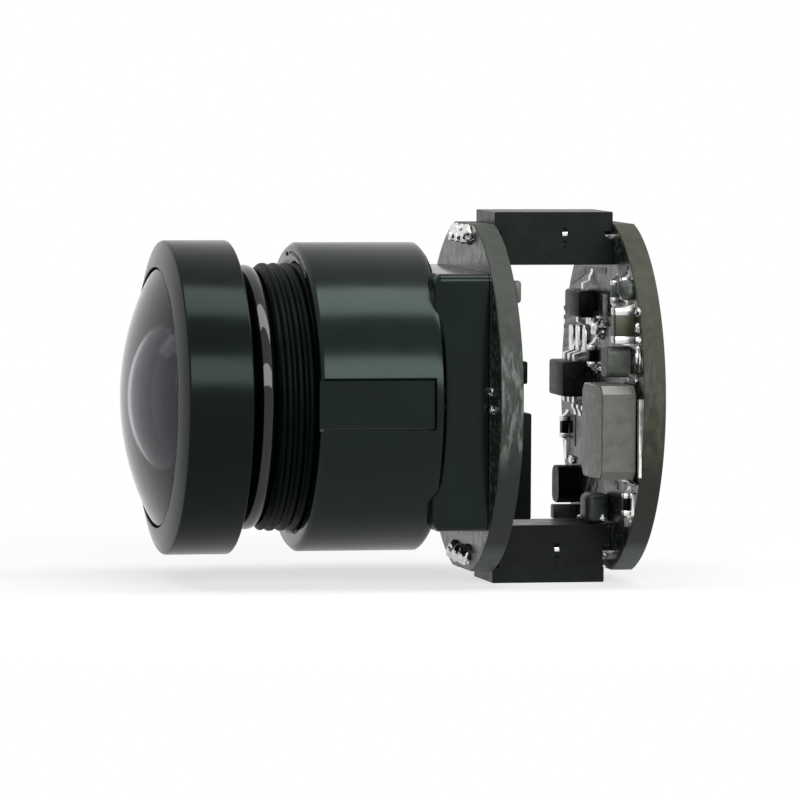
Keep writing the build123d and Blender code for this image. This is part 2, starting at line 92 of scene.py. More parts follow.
def cloud(tree, vector, size, detail=4.0, lumpiness=0.55):
    """Noise with features of this size in millimetres."""
    sockets = {"Vector": vector, "Scale": 1 / size, "Detail": detail, "Roughness": lumpiness}
    return add(tree, "ShaderNodeTexNoise", sockets).outputs["Fac"]


def spread(tree, factor, low, high):
    """Spreads the middle of a noise over low to high."""
    sockets = {"Value": factor, "From Min": 0.3, "From Max": 0.7, "To Min": low, "To Max": high}
    return add(tree, "ShaderNodeMapRange", sockets).outputs["Result"]


def fade(tree, value, start, end, low=0.0, high=1.0):
    """Smooth step of a value from low at start to high at end."""
    sockets = {"Value": value, "From Min": start, "From Max": end, "To Min": low, "To Max": high}
    return add(tree, "ShaderNodeMapRange", sockets, interpolation_type="SMOOTHSTEP").outputs["Result"]


def times(tree, *values):
    """Product of values, each a number or an output."""
    product = values[0]
    for value in values[1:]:
        product = add(tree, "ShaderNodeMath", {0: product, 1: value}, operation="MULTIPLY").outputs["Value"]
    return product


def plus(tree, *values):
    """Sum of values, each a number or an output."""
    total = values[0]
    for value in values[1:]:
        total = add(tree, "ShaderNodeMath", {0: total, 1: value}, operation="ADD").outputs["Value"]
    return total


def surface(name, deep, pale, patch, grain, relief, rough, specular=0.5, metallic=0.0,
            tint=(1.0, 1.0, 1.0)):
    """Material that varies from deep to pale in patches and has a fine grain in relief.
    patch, grain and relief are in millimetres, rough is (lowest, highest)."""
    material = bpy.data.materials.new(name)
    material.use_nodes = True
    tree = material.node_tree
    shader = tree.nodes["Principled BSDF"]
    place = millimetres(tree)
    patches = cloud(tree, place, patch)
    grains = cloud(tree, place, grain, 2.0)
    bump = add(tree, "ShaderNodeBump", {"Height": grains, "Strength": 1.0, "Distance": relief * MM})
    tree.links.new(ramp(tree, patches, [(0.3, deep), (0.7, pale)]), shader.inputs["Base Color"])
    tree.links.new(spread(tree, patches, *rough), shader.inputs["Roughness"])
    tree.links.new(bump.outputs["Normal"], shader.inputs["Normal"])
    shader.inputs["Metallic"].default_value = metallic
    shader.inputs["Specular IOR Level"].default_value = specular
    shader.inputs["Specular Tint"].default_value = (*tint, 1.0)
    return material


def glass(name, tint, index, rough, coating):
    """Coated clear material with a very faint unevenness of its gloss."""
    material = bpy.data.materials.new(name)
    material.use_nodes = True
    tree = material.node_tree
    shader = tree.nodes["Principled BSDF"]
    smear = cloud(tree, millimetres(tree), 1.5)
    tree.links.new(ramp(tree, smear, [(0.3, tint), (0.7, tuple(0.97 * c for c in tint))]), shader.inputs["Base Color"])
    tree.links.new(spread(tree, smear, 0.0, rough), shader.inputs["Roughness"])
    shader.inputs["Transmission Weight"].default_value = 1.0
    shader.inputs["IOR"].default_value = index
    shader.inputs["Specular Tint"].default_value = (*coating, 1.0)
    return material


GREENISH = (0.75, 1.0, 0.88)
black_ends = ((0.0, 0.0008, 0.0004), (0.0004, 0.0016, 0.0010))
anodised = surface("black_anodising", *black_ends, 1.2, 0.05, 0.0006, (0.17, 0.22), 0.15, tint=GREENISH)
moulded = surface("black_moulding", *black_ends, 1.6, 0.08, 0.0008, (0.16, 0.22), 0.25, tint=GREENISH)
threadwork = surface("thread_anodising", *black_ends, 0.5, 0.05, 0.001, (0.42, 0.52), 0.06, tint=GREENISH)
matte = surface("matte_blackening", (0.0015, 0.0015, 0.002), (0.004, 0.004, 0.005), 0.8, 0.05, 0.002, (0.5, 0.7), 0.2)
edge_paint = surface("edge_paint", (0.0008, 0.0009, 0.001), (0.002, 0.002, 0.0022), 0.6, 0.06, 0.001, (0.35, 0.5), 0.2)
rubber = surface("glossy_rubber", *black_ends, 0.7, 0.1, 0.0004, (0.04, 0.06), 0.45)
glue = surface("black_adhesive", (0.002, 0.003, 0.003), (0.006, 0.008, 0.007), 0.3, 0.1, 0.004, (0.15, 0.35), 0.4)
moulding_face = surface("moulded_package", (0.002, 0.0035, 0.0025), (0.016, 0.020, 0.016), 0.2, 0.05, 0.003, (0.34, 0.5), 0.07)
slate = surface("slate_ceramic", (0.016, 0.022, 0.018), (0.035, 0.045, 0.038), 0.4, 0.06, 0.002, (0.35, 0.5), 0.4)
header = surface("header_moulding", (0.0028, 0.0050, 0.0040), (0.0060, 0.0092, 0.0077), 0.7, 0.06, 0.001, (0.3, 0.4), 0.13)
tin = surface("bright_solder", (0.55, 0.56, 0.54), (0.86, 0.87, 0.85), 0.4, 0.12, 0.0015, (0.22, 0.38), 0.5, 1.0)
gold = surface("gold_plating", (0.75, 0.50, 0.20), (0.95, 0.70, 0.33), 0.3, 0.1, 0.002, (0.2, 0.35), 0.5, 1.0)
epoxy = surface("chip_epoxy", (0.0004, 0.0012, 0.0008), (0.0018, 0.0030, 0.0024), 0.35, 0.04, 0.001, (0.32, 0.45), 0.05)
ferrite = surface("pressed_ferrite", (0.054, 0.059, 0.045), (0.086, 0.092, 0.072), 0.5, 0.07, 0.004, (0.26, 0.36), 0.8)
brown = surface("brown_ceramic", (0.027, 0.025, 0.011), (0.050, 0.046, 0.024), 0.3, 0.05, 0.002, (0.3, 0.5), 0.5)
grey = surface("grey_ceramic", (0.050, 0.057, 0.048), (0.095, 0.105, 0.090), 0.3, 0.05, 0.002, (0.35, 0.5), 0.5)
package = surface("sensor_package", (0.01, 0.01, 0.012), (0.03, 0.03, 0.035), 0.5, 0.1, 0.002, (0.3, 0.5), 0.5)
can = surface("crystal_can", (0.5, 0.5, 0.48), (0.7, 0.7, 0.68), 0.3, 0.08, 0.002, (0.2, 0.35), 0.5, 1.0)
COATING = (0.17, 0.15, 0.19)
dome_glass = glass("dome_glass", (0.42, 0.40, 0.46), 1.65, 0.10, COATING)
inner_glass = glass("inner_glass", (0.60, 0.58, 0.63), 1.8, 0.10, (0.14, 0.13, 0.15))
filter_glass = glass("filter_glass", (0.55, 0.75, 0.72), 1.5, 0.3, COATING)


def cut_laminate(name, deep, pale, chips):
    """Edge of a board: mottled patches, pale streaks in this share where the resin has chipped, painted shade over its
    lower part and a painted pale band of floor light along its bottom.
    """
    material = surface(name, deep, pale, 0.45, 0.06, 0.006, (0.5, 0.7), 0.3)
    tree = material.node_tree
    shader = tree.nodes["Principled BSDF"]
    base = shader.inputs["Base Color"].links[0].from_socket
    place = millimetres(tree)
    along = add(tree, "ShaderNodeMapping", {"Vector": place, "Scale": (2.4, 1.0, 0.42)}).outputs["Vector"]
    streaks = cloud(tree, along, 0.6, 5.0, 0.62)
    chipped = fade(tree, streaks, 0.47, 0.60)
    height = add(tree, "ShaderNodeSeparateXYZ", {"Vector": place}).outputs["Z"]
    zone = times(tree, fade(tree, height, -3.2, -1.6), fade(tree, height, 2.9, 1.7), chipped)
    pale = add(tree, "ShaderNodeMix", {"Factor": times(tree, zone, chips), 6: base, 7: (0.22, 0.25, 0.235, 1)}, data_type="RGBA").outputs[2]
    # Painted shade: the lower part of the edge is darkened toward black, standing in for the shade that falls there.
    painted_shade = times(tree, fade(tree, height, -1.8, -3.6), fade(tree, height, -7.3, -6.4))
    with_painted_shade = add(tree, "ShaderNodeMix", {"Factor": times(tree, painted_shade, 0.6), 6: pale, 7: (0.006, 0.010, 0.009, 1)},
                  data_type="RGBA").outputs[2]
    # Painted light: a paler band along the bottom of the edge, standing in for light thrown up from the floor.
    foot = times(tree, fade(tree, height, -6.2, -7.0), 0.7)
    finished = add(tree, "ShaderNodeMix", {"Factor": foot, 6: with_painted_shade, 7: (0.19, 0.22, 0.205, 1)}, data_type="RGBA").outputs[2]
    tree.links.new(finished, shader.inputs["Base Color"])
    return material


def flecked_mask():
    """Dark solder mask over copper, with small pale flecks of flux."""
    material = surface("solder_mask", (0.0030, 0.0052, 0.0044), (0.012, 0.018, 0.015), 0.5, 0.12, 0.0012, (0.16, 0.34), 0.20)
    tree = material.node_tree
    shader = tree.nodes["Principled BSDF"]
    base = shader.inputs["Base Color"].links[0].from_socket
    flecks = fade(tree, cloud(tree, millimetres(tree), 0.32, 5.0, 0.7), 0.52, 0.64)
    flecked = add(tree, "ShaderNodeMix", {"Factor": times(tree, flecks, 0.8), 6: base, 7: (0.11, 0.125, 0.115, 1)},
                  data_type="RGBA").outputs[2]
    tree.links.new(flecked, shader.inputs["Base Color"])
    return material


sensor_edge = cut_laminate("sensor_board_edge", (0.013, 0.017, 0.013), (0.045, 0.051, 0.041), 0.6)
main_edge = cut_laminate("main_board_edge", (0.011, 0.013, 0.007), (0.047, 0.049, 0.032), 0.10)
mask = flecked_mask()
pale_mask = surface("pale_mask", (0.035, 0.042, 0.038), (0.10, 0.112, 0.105), 0.25, 0.08, 0.004, (0.3, 0.5), 0.3)

FINISHES = {
    "black_anodised": anodised,
    "lens_glass": dome_glass,
    "inner_glass": inner_glass,
    "filter_glass": filter_glass,
    "black_rubber": rubber,
    "matte_black_metal": matte,
    "holder_plastic": moulded,
    "black_adhesive": glue,
    "board_laminate": mask,
    "header_plastic": header,
    "tinned_metal": tin,
    "gold_contact": gold,
    "chip_black": epoxy,
    "inductor_body": ferrite,
    "capacitor_brown": brown,
    "capacitor_grey": grey,
    "sensor_package": package,
    "crystal_can": can,
}
for carried in cad.values():
    for place, material in enumerate(carried.data.materials):
        carried.data.materials[place] = FINISHES[material.name]

# Mesh helpers: everything is drawn in millimetres and scaled when the piece is made

SHARP = math.radians(33)
ROUND = 224


def piece(name, mesh, finishes, slot, *nodes):
    """Turns a bmesh into a piece of the module that rides the one body."""
    bmesh.ops.recalc_face_normals(mesh, faces=mesh.faces)
    bmesh.ops.scale(mesh, vec=(MM, MM, MM), verts=mesh.verts)
    for edge in mesh.edges:
        edge.smooth = len(edge.link_faces) == 2 and edge.calc_face_angle(0) < SHARP
    for face in mesh.faces:
        face.smooth = True
    data = bpy.data.meshes.new(name)
    mesh.to_mesh(data)
    mesh.free()
    for finish in finishes:
        data.materials.append(finish)
    made = bpy.data.objects.new(name, data)
    scene.collection.objects.link(made)
    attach(made, "root")
    if nodes:
        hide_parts(*nodes)
    return made


def rounded(points, radii, steps=4):
    """Closed outline whose corners become arcs of these radii."""
    outline = []
    for place, (corner, radius) in enumerate(zip(points, radii)):
        here = Vector(corner)
        if not radius:
            outline.append(tuple(here))
            continue
        before = (Vector(points[place - 1]) - here).normalized()
        after = (Vector(points[(place + 1) % len(points)]) - here).normalized()
        half = before.angle(after) / 2
        centre = here + (before + after).normalized() * (radius / math.sin(half))
        start = here + before * (radius / math.tan(half)) - centre
        end = here + after * (radius / math.tan(half)) - centre
        sweep = math.pi - 2 * half
        for step in range(steps + 1):
            part = step / steps
            spoke = (start * math.sin((1 - part) * sweep) + end * math.sin(part * sweep)) / math.sin(sweep)
            outline.append(tuple(centre + spoke))
    return outline


def dome_arc(x_pole, curve, rim, steps=24):
    """Points (x, radius) from the pole of a round face out to its rim; a negative curve bulges to the rear."""
    bulge = math.copysign(1, curve)
    size = abs(curve)
    reach = math.asin(rim / size)
    turns = [reach * step / steps for step in range(steps + 1)]
    return [(x_pole + bulge * size * (1 - math.cos(turn)), size * math.sin(turn)) for turn in turns]


def lathe(mesh, outline, centre=(0.0, 0.0), steps=ROUND, finish=None):
    """Turns a closed outline of (x, radius) about a line parallel to X; finish gives a material per segment."""
    rings = []
    for x, radius in outline:
        turns = [2 * math.pi * step / steps for step in range(steps)] if radius > 1e-6 else [0.0]
        spots = [(x, centre[0] + radius * math.cos(turn), centre[1] + radius * math.sin(turn)) for turn in turns]
        rings.append([mesh.verts.new(spot) for spot in spots])
    for place, ring in enumerate(rings):
        following = rings[(place + 1) % len(rings)]
        for step in range(steps):
            ahead = (step + 1) % steps
            corners = [ring[step % len(ring)], ring[ahead % len(ring)]]
            corners += [following[ahead % len(following)], following[step % len(following)]]
            corners = list(dict.fromkeys(corners))
            if len(corners) > 2:
                mesh.faces.new(corners).material_index = finish(place) if finish else 0
    return mesh


def polar(mesh, sections, angles, finish=None):
    """Closed tube of rows round X; each section is (x, radius at an angle), both can be functions of the angle."""
    rows = []
    for x, radius in sections:
        row = []
        for angle in angles:
            reach = radius(angle) if callable(radius) else radius
            along = x(angle) if callable(x) else x
            row.append(mesh.verts.new((along, reach * math.cos(angle), reach * math.sin(angle))))
        rows.append(row)
    for place, row in enumerate(rows):
        following = rows[(place + 1) % len(rows)]
        for step in range(len(angles)):
            ahead = (step + 1) % len(angles)
            face = mesh.faces.new((row[step], row[ahead], following[ahead], following[step]))
            face.material_index = finish(place) if finish else 0
    return mesh


def block(mesh, low, high, edge=0.04, finish=0, steps=2, axes="XYZ"):
    """Box from its low to its high corner with rounded edges; axes names the edge directions to round."""
    part = bmesh.new()
    bmesh.ops.create_cube(part, size=1.0)
    size = [h - l for l, h in zip(low, high)]
    middle = [(h + l) / 2 for l, h in zip(low, high)]
    for vert in part.verts:
        vert.co = Vector([c * s + m for c, s, m in zip(vert.co, size, middle)])
    if edge:
        chosen = []
        for line in part.edges:
            run = line.verts[0].co - line.verts[1].co
            if "XYZ"[max(range(3), key=lambda axis: abs(run[axis]))] in axes:
                chosen.append(line)
        bmesh.ops.bevel(part, geom=chosen, offset=edge, segments=steps, affect="EDGES", profile=0.5)
    return join(mesh, part, finish)


def join(mesh, part, finish=0):
    """Moves all of part into mesh, in one finish."""
    for face in part.faces:
        face.material_index = finish
    carrier = bpy.data.meshes.new("carrier")
    part.to_mesh(carrier)
    part.free()
    mesh.from_mesh(carrier)
    bpy.data.meshes.remove(carrier)
    return mesh


def prism(mesh, outline, shift, finish=0):
    """Solid between an outline of points and the same outline moved by shift."""
    near = [mesh.verts.new(point) for point in outline]
    far = [mesh.verts.new(Vector(point) + Vector(shift)) for point in outline]
    faces = [mesh.faces.new(near), mesh.faces.new(far[::-1])]
    for step in range(len(near)):
        ahead = (step + 1) % len(near)
        faces.append(mesh.faces.new((near[ahead], near[step], far[step], far[ahead])))
    for face in faces:
        face.material_index = finish
    return mesh


def blob(mesh, centre, size, lumps=0.25, finish=0, detail=3):
    """Lump of solder or glue: a sphere stretched to size and made uneven."""
    part = bmesh.new()
    bmesh.ops.create_icosphere(part, subdivisions=detail, radius=1.0)
    seed = Vector(centre) * 3.7
    for vert in part.verts:
        uneven = 1 + lumps * noise.noise(vert.co * 1.6 + seed)
        vert.co = Vector([c * s * uneven / 2 + m for c, s, m in zip(vert.co, size, centre)])
    return join(mesh, part, finish)


def on_board(face, out, y, z, height):
    """Point at a height off a board's face; out is -1 for a front face and 1 for a rear one."""
    return (face + out * height, y, z)


def sits(mesh, face, out, centre, size, edge=0.05, finish=0, lift=0.0, axes="XYZ"):
    """Rounded box that sits on a board's face; size is across (Y), up (Z) and height."""
    x_low, x_high = sorted((face + out * lift, face + out * (lift + size[2])))
    low = (x_low, centre[0] - size[0] / 2, centre[1] - size[1] / 2)
    high = (x_high, centre[0] + size[0] / 2, centre[1] + size[1] / 2)
    return block(mesh, low, high, edge, finish, axes=axes)


def ramp_up(mesh, face, out, foot, top, height, width, finish=0):
    """Solder ramp from foot on the board to the top of a part's end, both (y, z), with a hollow face."""
    run = Vector((top[0] - foot[0], top[1] - foot[1]))
    side = Vector((-run.y, run.x)).normalized() * width / 2
    steps = 6
    outline = []
    for step in range(steps + 1):
        part = step / steps
        rise = height * part**2.2
        outline.append(on_board(face, out, foot[0] + run.x * part - side.x, foot[1] + run.y * part - side.y, rise + 0.03))
    outline.append(on_board(face, out, top[0] - side.x, top[1] - side.y, 0.0))
    outline.append(on_board(face, out, foot[0] - side.x, foot[1] - side.y, 0.0))
    return prism(mesh, outline, (0, 2 * side.x, 2 * side.y), finish)


def chip(mesh, face, out, centre, size, along="Z", body=0, metal=1, cap=0.24, pad=0.3):
    """Two-ended part: body, wrapped ends, solder ramps and pads; size is across (Y), up (Z) and height."""
    y, z = centre
    length = size[1] if along == "Z" else size[0]
    width = size[0] if along == "Z" else size[1]
    inner = (size[0] - 0.03, size[1] - 2 * cap * 0.8, size[2] - 0.02) if along == "Z" else (
        size[0] - 2 * cap * 0.8, size[1] - 0.03, size[2] - 0.02)
    sits(mesh, face, out, centre, inner, 0.03, body)
    for end in (-1, 1):
        middle = end * (length - cap) / 2
        foot = end * (length / 2 + pad)
        top = end * length / 2
        if along == "Z":
            sits(mesh, face, out, (y, z + middle), (size[0], cap, size[2]), 0.05, metal)
            ramp_up(mesh, face, out, (y, z + foot), (y, z + top), size[2] * 0.7, width, metal)
        else:
            sits(mesh, face, out, (y + middle, z), (cap, size[1], size[2]), 0.05, metal)
            ramp_up(mesh, face, out, (y + foot, z), (y + top, z), size[2] * 0.7, width, metal)
    return mesh


def ribbon(mesh, face, out, path, width, height=0.02, finish=0):
    """Flat strip along a path of (y, z) points on a board's face."""
    for start, end in zip(path, path[1:]):
        run = Vector((end[0] - start[0], end[1] - start[1]))
        side = Vector((-run.y, run.x)).normalized() * width / 2
        step = run.normalized() * width / 2
        corners = [
            (start[0] - step.x * 0.4 - side.x, start[1] - step.y * 0.4 - side.y),
            (start[0] - step.x * 0.4 + side.x, start[1] - step.y * 0.4 + side.y),
            (end[0] + step.x * 0.4 + side.x, end[1] + step.y * 0.4 + side.y),
            (end[0] + step.x * 0.4 - side.x, end[1] + step.y * 0.4 - side.y),
        ]
        outline = [on_board(face, out, y, z, 0.0) for y, z in corners]
        prism(mesh, outline, (out * height, 0, 0), finish)
    return mesh


def disc(mesh, face, out, centre, radius, height, hole=0.0, finish=0, steps=20):
    """Flat round pad or ring on a board's face."""
    outline = [(face, hole), (face, radius), (face + out * height, radius), (face + out * height, hole)]
    return lathe(mesh, outline, centre, steps, lambda place: finish)


# Stations along the lens axis, in millimetres, as in the CAD
CAP_FRONT = -1.43
CAP_RIM = -1.78
SHOULDER = 1.43
THREAD_START = 2.73
HOLDER_FRONT = 4.39
HOLDER_REAR = 10.07
BASE_FRONT = 9.72
BASE_REAR = 12.20
SENSOR_FRONT, SENSOR_REAR = 12.25, 13.25
MAIN_FRONT, MAIN_REAR = 18.67, 19.67
HEAD_RADIUS = 7.0
OPENING = 5.8
BORE = 5.9
PIN_ROW = 7.12
FLAT = 7.76
BOARD_RADIUS = 8.0

# Front cap: bevelled rim, its corners broken as a turned part's are
cap_corners = [
    (CAP_FRONT, HEAD_RADIUS), (CAP_RIM, OPENING), (CAP_RIM + 0.5, OPENING),
    (CAP_RIM + 0.5, 6.35), (SHOULDER, 6.35), (SHOULDER, HEAD_RADIUS),
]
front_cap = lathe(bmesh.new(), rounded(cap_corners, (0.14, 0.05, 0.03, 0, 0.03, 0.10)))
piece("turned_front_cap", front_cap, [anodised], "black_anodised", "front_cap")

# Domed front glass with its ground edge painted black
DOME_POLE = cad_box[0].x / MM
dome = dome_arc(DOME_POLE, 11.8, 5.70, 40)
hollow = dome_arc(DOME_POLE + 1.1, 4.6, 3.8, 28)
dome_sides = [(-1.63, 5.75), (-0.78, 5.75), (-0.78, 6.33), (0.12, 6.33), (0.12, 3.8)]
glass_outline = dome + dome_sides + hollow[::-1]
polished = set(range(len(dome) - 1)) | set(range(len(dome) + len(dome_sides), len(glass_outline)))
front_element = lathe(bmesh.new(), glass_outline, finish=lambda place: 0 if place in polished else 1)
piece("domed_front_glass", front_element, [dome_glass, edge_paint], "lens_glass", "front_element")

# Rubber ring in the neck
ring_turns = [2 * math.pi * step / 28 for step in range(28)]
RING_AT, RING_MIDDLE, RING_HALF = 2.23, 5.43, 0.48
ring_outline = [(RING_AT + RING_HALF * math.cos(turn), RING_MIDDLE + RING_HALF * math.sin(turn)) for turn in ring_turns]
piece("glossy_neck_ring", lathe(bmesh.new(), ring_outline), [rubber], "black_rubber", "neck_o_ring")

# Barrel with its cut thread
PITCH = 0.5
THREAD_ROOT, THREAD_CREST, THREAD_HIDDEN = 5.82, 5.98, 5.84


def thread(along):
    """Radius of the thread at a station, as a function of the angle."""
    def radius(angle):
        turn = ((along - THREAD_START) / PITCH - angle / (2 * math.pi)) % 1.0
        flank = 1 - abs(2 * turn - 1)
        tooth = min(max((flank - 0.10) / 0.72, 0.0), 1.0)
        cut = THREAD_ROOT + (THREAD_CREST - THREAD_ROOT) * tooth * tooth * (3 - 2 * tooth)
        cut = min(cut, 5.72 + (along - THREAD_START) * 1.1)
        fade = min(max((along - 4.55) / 0.25, 0.0), 1.0)
        return cut + (THREAD_HIDDEN - cut) * fade
    return radius


thread_rows = [(THREAD_START + 0.036 * step, thread(THREAD_START + 0.036 * step)) for step in range(61)]
NECK = 4.95
barrel_rows = [(0.12, 4.4), (0.12, 6.33), (1.43, 6.33), (1.43, NECK + 0.1), (1.47, NECK + 0.02), (1.55, NECK)]
barrel_rows += [(2.65, NECK), (2.71, NECK + 0.02), (2.73, NECK + 0.1)] + thread_rows
barrel_rows += [(9.064, 5.84), (9.064, 3.2), (8.664, 3.2), (8.664, 3.8), (4.439, 3.8), (4.439, 4.4)]
turns = [2 * math.pi * step / ROUND for step in range(ROUND)]
piece("threaded_barrel", polar(bmesh.new(), barrel_rows, turns), [threadwork], "black_anodised", "lens_barrel")

# Holder: round barrel with a bevelled slot on each side, and a square base
HOLDER_RADIUS = 6.9
SLOT_FLOOR = 6.6
SLOT_HALF, SLOT_FOOT = 1.23, 1.05
SLOT_END = 9.6


def slotted(angle):
    """Radius of the holder's barrel where the slots run."""
    across, height = abs(math.cos(angle)), abs(math.sin(angle))
    if across * HOLDER_RADIUS < SLOT_FOOT:
        return HOLDER_RADIUS
    floor = SLOT_FLOOR / across
    if floor * height <= SLOT_FOOT:
        return floor
    slope = (HOLDER_RADIUS - SLOT_FLOOR) / (SLOT_HALF - SLOT_FOOT)
    wall = (SLOT_FLOOR - slope * SLOT_FOOT) / (across - slope * height)
    return HOLDER_RADIUS if wall <= 0 else min(wall, HOLDER_RADIUS)


def shrunk(radius_at, cut):
    """A radius function less a cut, never deeper than the slot."""
    return lambda angle: min(radius_at(angle), HOLDER_RADIUS - cut)


def square(half, fillet):
    """Polar radius of a square with rounded corners."""
    def radius(angle):
        across, height = abs(math.cos(angle)), abs(math.sin(angle))
        flat = half / max(across, height)
        if fillet == 0 or flat * min(across, height) <= half - fillet:
            return flat
        reach = (half - fillet) * (across + height)
        return reach + math.sqrt(reach * reach - 2 * (half - fillet) ** 2 + fillet * fillet)
    return radius


def spread_angles(step, places, reach, fine):
    """Angles all round, closer together within reach of each of the places; all in degrees."""
    found = {round(step * k, 4) for k in range(int(360 / step))}
    for place in places:
        steps = int(2 * reach / fine)
        found |= {round((place - reach + fine * k) % 360, 4) for k in range(steps + 1)}
    return [math.radians(angle) for angle in sorted(found)]


slot_edges = [side + turn for side in (0, 180) for turn in (-9.9, -9.1, 9.1, 9.9)]
holder_angles = spread_angles(1.5, slot_edges, 0.9, 0.15)
full = lambda angle: HOLDER_RADIUS
holder_rows = [
    (HOLDER_FRONT + 0.28, BORE), (HOLDER_FRONT + 0.03, BORE + 0.24), (HOLDER_FRONT, BORE + 0.28),
    (HOLDER_FRONT, shrunk(slotted, 0.20)), (HOLDER_FRONT + 0.02, shrunk(slotted, 0.165)),
    (HOLDER_FRONT + 0.165, shrunk(slotted, 0.02)), (HOLDER_FRONT + 0.20, slotted),
    (SLOT_END - 0.25, slotted), (SLOT_END - 0.06, slotted), (SLOT_END, full),
    (HOLDER_REAR - 0.20, full), (HOLDER_REAR - 0.165, shrunk(full, 0.02)),
    (HOLDER_REAR - 0.02, shrunk(full, 0.165)), (HOLDER_REAR, shrunk(full, 0.20)),
    (HOLDER_REAR, BORE), (9.0, BORE),
]
holder = polar(bmesh.new(), holder_rows, holder_angles)
corner_angles = spread_angles(2.0, (45, 135, 225, 315), 4.0, 0.4)
HALF, FILLET = 5.7, 0.35
base_rows = [
    (BASE_FRONT, BORE - 0.4), (BASE_FRONT, square(HALF - 0.28, FILLET - 0.1)),
    (BASE_FRONT + 0.04, square(HALF - 0.22, FILLET - 0.08)),
    (BASE_FRONT + 0.20, square(HALF - 0.04, FILLET)), (BASE_FRONT + 0.27, square(HALF, FILLET)),
    (BASE_REAR - 0.05, square(HALF, FILLET)), (BASE_REAR, square(HALF - 0.05, FILLET - 0.02)),
    (BASE_REAR, square(4.5, 0)), (10.4, square(4.5, 0)), (10.4, square(3.3, 0)), (9.9, square(3.3, 0)),
    (9.9, BORE - 0.4),
]
polar(holder, base_rows, corner_angles)
piece("moulded_holder", holder, [moulded], "holder_plastic", "lens_holder")

# Adhesive at the thread's mouth: a thin arc and two dabs
glue_line = bmesh.new()
for step in range(34):
    turn = math.radians(92 + 30 * step / 33)
    spot = (HOLDER_FRONT - 0.01, 6.42 * math.cos(turn), 6.42 * math.sin(turn))
    blob(glue_line, spot, (0.12, 0.22, 0.14 + 0.04 * math.sin(step * 1.3)), 0.2, detail=2)
for turn, width in ((80, 0.22), (88, 0.14)):
    spot = (HOLDER_FRONT - 0.01, 6.45 * math.cos(math.radians(turn)), 6.45 * math.sin(math.radians(turn)))
    blob(glue_line, spot, (0.12, width * 2.2, width), 0.3, detail=2)
piece("thread_lock_bead", glue_line, [glue], "black_adhesive", "thread_lock_adhesive")


# Boards: masked faces, cut laminate round the edge
def board_edge(cut):
    """Polar radius of a board's outline less a cut."""
    def radius(angle):
        rise = abs(math.sin(angle))
        return min(BOARD_RADIUS, FLAT / rise if rise > 0.5 else BOARD_RADIUS) - cut
    return radius


board_angles = spread_angles(1.5, (104.1, 75.9, 255.9, 284.1), 1.5, 0.3)
for name, front, rear in (("sensor_board", SENSOR_FRONT, SENSOR_REAR), ("main_board", MAIN_FRONT, MAIN_REAR)):
    rows = [
        (front, 0.01), (front, board_edge(0.05)), (front + 0.04, board_edge(0.0)),
        (rear - 0.04, board_edge(0.0)), (rear, board_edge(0.05)), (rear, 0.01),
    ]
    board = polar(bmesh.new(), rows, board_angles, lambda place: 1 if place in (1, 2, 3) else 0)
    edge_finish = sensor_edge if name == "sensor_board" else main_edge
    piece(name + "_masked", board, [mask, edge_finish], "board_laminate", name)

# Header strips: chamfered near and far edges, notched ends that show the pins; the lower one is shorter
STRIP_HALF = 1.9
EDGE_CUT = 0.16


def strip_rows(side, inner, outer, low_notch, high_notch, short):
    """Side view of a strip as (x, z) corners; notches run from low to high at both ends."""
    corners = [
        (SENSOR_REAR, inner), (SENSOR_REAR, low_notch), (SENSOR_REAR + 0.28, low_notch),
        (SENSOR_REAR + 0.28, high_notch), (SENSOR_REAR, high_notch), (SENSOR_REAR, outer),
        (MAIN_FRONT - short, outer), (MAIN_FRONT - short, high_notch), (MAIN_FRONT - 0.36, high_notch),
        (MAIN_FRONT - 0.36, low_notch), (MAIN_FRONT, low_notch), (MAIN_FRONT, inner),
    ]
    return [(x, side * z) for x, z in corners]


for side, place, inner, outer, low_notch, high_notch, short in (
    (1, "upper", 5.935, 8.305, 7.10, 7.42, 0.0), (-1, "lower", 5.715, 8.305, 6.62, 7.60, 0.30),
):
    part = bmesh.new()
    corners = strip_rows(side, inner, outer, low_notch, high_notch, short)
    prism(part, [(x, -STRIP_HALF, z) for x, z in corners], (0, 2 * STRIP_HALF, 0))
    bmesh.ops.recalc_face_normals(part, faces=part.faces)
    long_edges = [
        edge for edge in part.edges
        if abs(edge.verts[0].co.x - edge.verts[1].co.x) > 4 and abs(edge.verts[0].co.z) in (inner, outer)
    ]
    bmesh.ops.bevel(part, geom=long_edges, offset=EDGE_CUT, segments=1, affect="EDGES", profile=0.5)
    bmesh.ops.bevel(part, geom=list(part.edges), offset=0.03, segments=1, affect="EDGES", profile=0.5)
    strip = join(bmesh.new(), part)
    piece(place + "_header_strip", strip, [header], "header_plastic", place + "_header_body")

# Pins, and the solder drawn up over their ends
pins = bmesh.new()
for row in (-PIN_ROW, PIN_ROW):
    for across in (-1.27, 0.0, 1.27):
        low = (SENSOR_FRONT - 0.40, across - 0.2, row - 0.2)
        block(pins, low, (MAIN_REAR + 0.40, across + 0.2, row + 0.2), 0.05)
piece("header_pin_rows", pins, [tin], "gold_contact", "upper_header_pins", "lower_header_pins")
solder = bmesh.new()
for row in (-PIN_ROW, PIN_ROW):
    for across in (-1.27, 0.0, 1.27):
        for face, out in ((SENSOR_FRONT, -1), (MAIN_REAR, 1)):
            lump = 0.16 * math.sin(5.0 * across + 3.0 * row + out)
            blob(solder, (face + out * 0.04, across, row + lump), (0.66, 0.98, 0.90), 0.30, 0, 4)
            blob(solder, (face + out * 0.18, across, row + lump / 2), (0.50, 0.46, 0.44), 0.20, 0, 4)
piece("pin_solder_cones", solder, [tin], "tinned_metal", "header_solder_joints")

# Memory chip on the sensor board's rear
memory = sits(bmesh.new(), SENSOR_REAR, 1, (-3.5, -2.85), (3.8, 4.7, 0.83), 0.08, 0, 0.12)
sits(memory, SENSOR_REAR, 1, (-3.5, -2.85), (3.3, 4.2, 0.14), 0.0, 1)
piece("moulded_memory_chip", memory, [epoxy, tin], "chip_black", "memory_chip")
